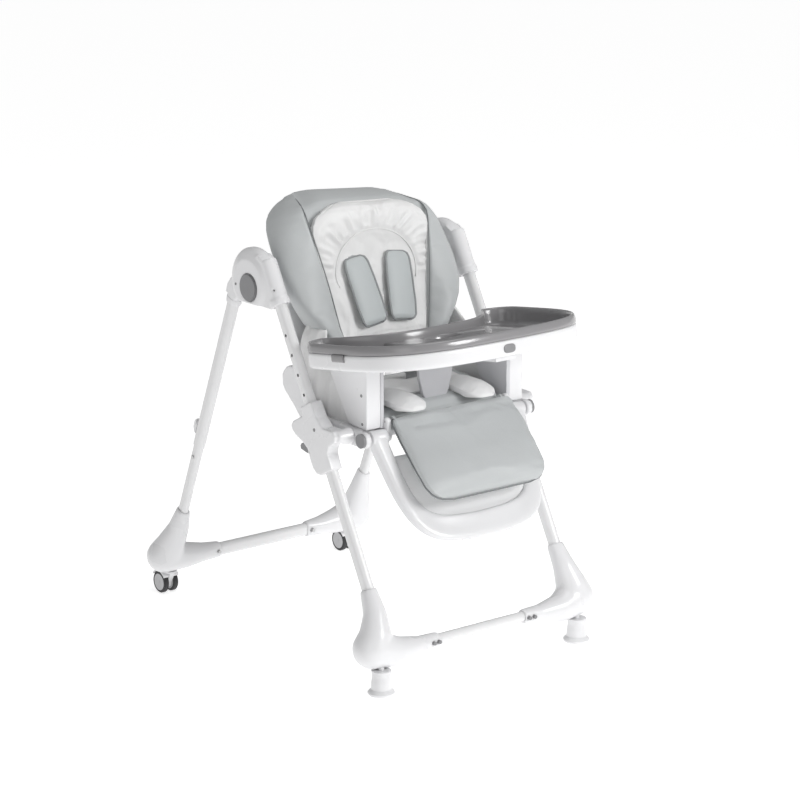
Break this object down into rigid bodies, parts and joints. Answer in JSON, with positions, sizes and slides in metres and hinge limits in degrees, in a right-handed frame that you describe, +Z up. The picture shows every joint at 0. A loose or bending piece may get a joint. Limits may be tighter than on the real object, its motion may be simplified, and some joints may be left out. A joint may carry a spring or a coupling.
{
  "type": "baby high chair",
  "caption": "Folding baby high chair: height-adjustable reclining padded seat with harness, leg rest and footrest, sliding tray with lift-off insert, front feet and rear casters.",
  "frame": {"origin": "middle of the bounding box footprint, on the floor", "axes": "+Z up, -Y the way the child faces, +X across the chair"},
  "size_m": [0.6314, 0.9306, 0.9609],
  "materials": {
    "white_tube": "gloss white paint",
    "white_plastic": "gloss white",
    "steel": "bright",
    "grey_plastic": "satin mid grey",
    "wheel_grey": "satin",
    "black_tyre": "matt",
    "tray_grey": "satin grey",
    "divider_grey": "satin",
    "panel_grey": "satin",
    "grey_leather": "soft faux leather",
    "cream_leather": "soft faux leather",
    "pad_fabric": "soft faux leather",
    "webbing": "woven webbing"
  },
  "bodies": {
    "frame": {"front_leg_left": "white_tube", "front_leg_right": "white_tube", "front_boot_left": "white_plastic", "front_boot_right": "white_plastic", "front_crossbar": "white_tube", "front_feet": "white_plastic", "hub_housing_left": "white_plastic", "hub_housing_right": "white_plastic", "hub_pins": "steel", "front_snap_buttons": "grey_plastic"},
    "fold_button_l": {"fold_button_left": "grey_plastic"},
    "fold_button_r": {"fold_button_right": "grey_plastic"},
    "rear_frame": {"hub_eye_left": "white_plastic", "hub_eye_right": "white_plastic", "rear_leg_upper_left": "white_tube", "rear_leg_upper_right": "white_tube", "rear_leg_lower_left": "white_tube", "rear_leg_lower_right": "white_tube", "rear_boot_left": "white_plastic", "rear_boot_right": "white_plastic", "rear_crossbar": "white_tube", "tray_hooks": "white_plastic", "rear_snap_buttons": "steel"},
    "caster_l": {"caster_housing_left": "white_plastic"},
    "caster_r": {"caster_housing_right": "white_plastic"},
    "wheels_l": {"caster_hubs_left": "wheel_grey", "caster_tyres_left": "black_tyre"},
    "wheels_r": {"caster_hubs_right": "wheel_grey", "caster_tyres_right": "black_tyre"},
    "seat": {"slider_left": "white_plastic", "slider_right": "white_plastic", "lever_pins": "steel", "seat_frame": "white_plastic", "side_panel_left": "white_plastic", "side_panel_right": "white_plastic", "panel_liners": "panel_grey", "seat_cushion": "grey_leather", "side_bolster_left": "cream_leather", "side_bolster_right": "cream_leather", "leg_pivot_pins": "steel", "leg_pivot_caps": "grey_plastic", "recline_pins": "steel", "liner_seat": "cream_leather", "crotch_strap": "webbing", "buckle": "grey_plastic"},
    "lever_l": {"slider_lever_left": "grey_plastic"},
    "lever_r": {"slider_lever_right": "grey_plastic"},
    "backrest": {"back_shell": "white_plastic", "back_cushion": "grey_leather", "liner_back": "cream_leather", "shoulder_pads": "pad_fabric"},
    "recline_grip": {"recline_handle": "grey_plastic"},
    "footrest_hoop": {"footrest": "white_plastic"},
    "leg_rest": {"calf_board": "grey_leather", "calf_pad": "grey_leather"},
    "tray": {"tray_base": "white_plastic", "crotch_divider": "divider_grey"},
    "insert": {"tray_insert": "tray_grey"},
    "latch": {"tray_latch": "white_plastic"}
  },
  "joints": [
    {"name": "fold", "type": "hinge", "parent": "frame", "child": "rear_frame", "pos_m": [0, 0.0638, 0.776], "axis": [-1, 0, 0], "range_deg": [0, 50]},
    {"name": "fold_button_l_press", "type": "slide", "parent": "frame", "child": "fold_button_l", "axis": [1, 0, 0], "range_m": [0, 0.004], "stiffness_N_per_m": 800},
    {"name": "fold_button_r_press", "type": "slide", "parent": "frame", "child": "fold_button_r", "axis": [-1, 0, 0], "range_m": [0, 0.004], "stiffness_N_per_m": 800},
    {"name": "caster_swivel_l", "type": "hinge", "parent": "rear_frame", "child": "caster_l", "pos_m": [-0.252, 0.4223, 0.05], "axis": [0, 0, 1], "continuous": true},
    {"name": "caster_swivel_r", "type": "hinge", "parent": "rear_frame", "child": "caster_r", "pos_m": [0.252, 0.4223, 0.05], "axis": [0, 0, 1], "continuous": true},
    {"name": "wheel_spin_l", "type": "hinge", "parent": "caster_l", "child": "wheels_l", "pos_m": [-0.252, 0.4403, 0.025], "axis": [1, 0, 0], "continuous": true},
    {"name": "wheel_spin_r", "type": "hinge", "parent": "caster_r", "child": "wheels_r", "pos_m": [0.252, 0.4403, 0.025], "axis": [1, 0, 0], "continuous": true},
    {"name": "seat_height", "type": "slide", "parent": "frame", "child": "seat", "axis": [0, 0.4802, 0.8771], "range_m": [-0.087, 0.174]},
    {"name": "height_lever_l", "type": "hinge", "parent": "seat", "child": "lever_l", "pos_m": [-0.252, -0.13678, 0.46059], "axis": [1, 0, 0], "range_deg": [0, 9], "stiffness_Nm_per_rad": 0.5},
    {"name": "height_lever_r", "type": "hinge", "parent": "seat", "child": "lever_r", "pos_m": [0.252, -0.13678, 0.46059], "axis": [1, 0, 0], "range_deg": [0, 9], "stiffness_Nm_per_rad": 0.5},
    {"name": "recline", "type": "hinge", "parent": "seat", "child": "backrest", "pos_m": [0, -0.0132, 0.58], "axis": [-1, 0, 0], "range_deg": [0, 40]},
    {"name": "recline_squeeze", "type": "slide", "parent": "backrest", "child": "recline_grip", "axis": [0, 0.3518, 0.9361], "range_m": [0, 0.008], "stiffness_N_per_m": 400},
    {"name": "footrest_swing", "type": "hinge", "parent": "seat", "child": "footrest_hoop", "pos_m": [0, -0.2612, 0.505], "axis": [-1, 0, 0], "range_deg": [-30, 40]},
    {"name": "leg_rest_swing", "type": "hinge", "parent": "seat", "child": "leg_rest", "pos_m": [0, -0.2612, 0.536], "axis": [-1, 0, 0], "range_deg": [-30, 40]},
    {"name": "tray_depth", "type": "slide", "parent": "seat", "child": "tray", "axis": [0, -0.989, 0.1478], "range_m": [-0.01, 0.045]},
    {"name": "insert_lift", "type": "slide", "parent": "tray", "child": "insert", "axis": [0, 0.1478, 0.989], "range_m": [0, 0.06]},
    {"name": "tray_latch_pull", "type": "slide", "parent": "tray", "child": "latch", "axis": [0, -0.989, 0.1478], "range_m": [0, 0.008], "stiffness_N_per_m": 400}
  ],
  "couplings": [
    {"joint": "footrest_swing", "follows": "leg_rest_swing", "ratio": 1}
  ]
}
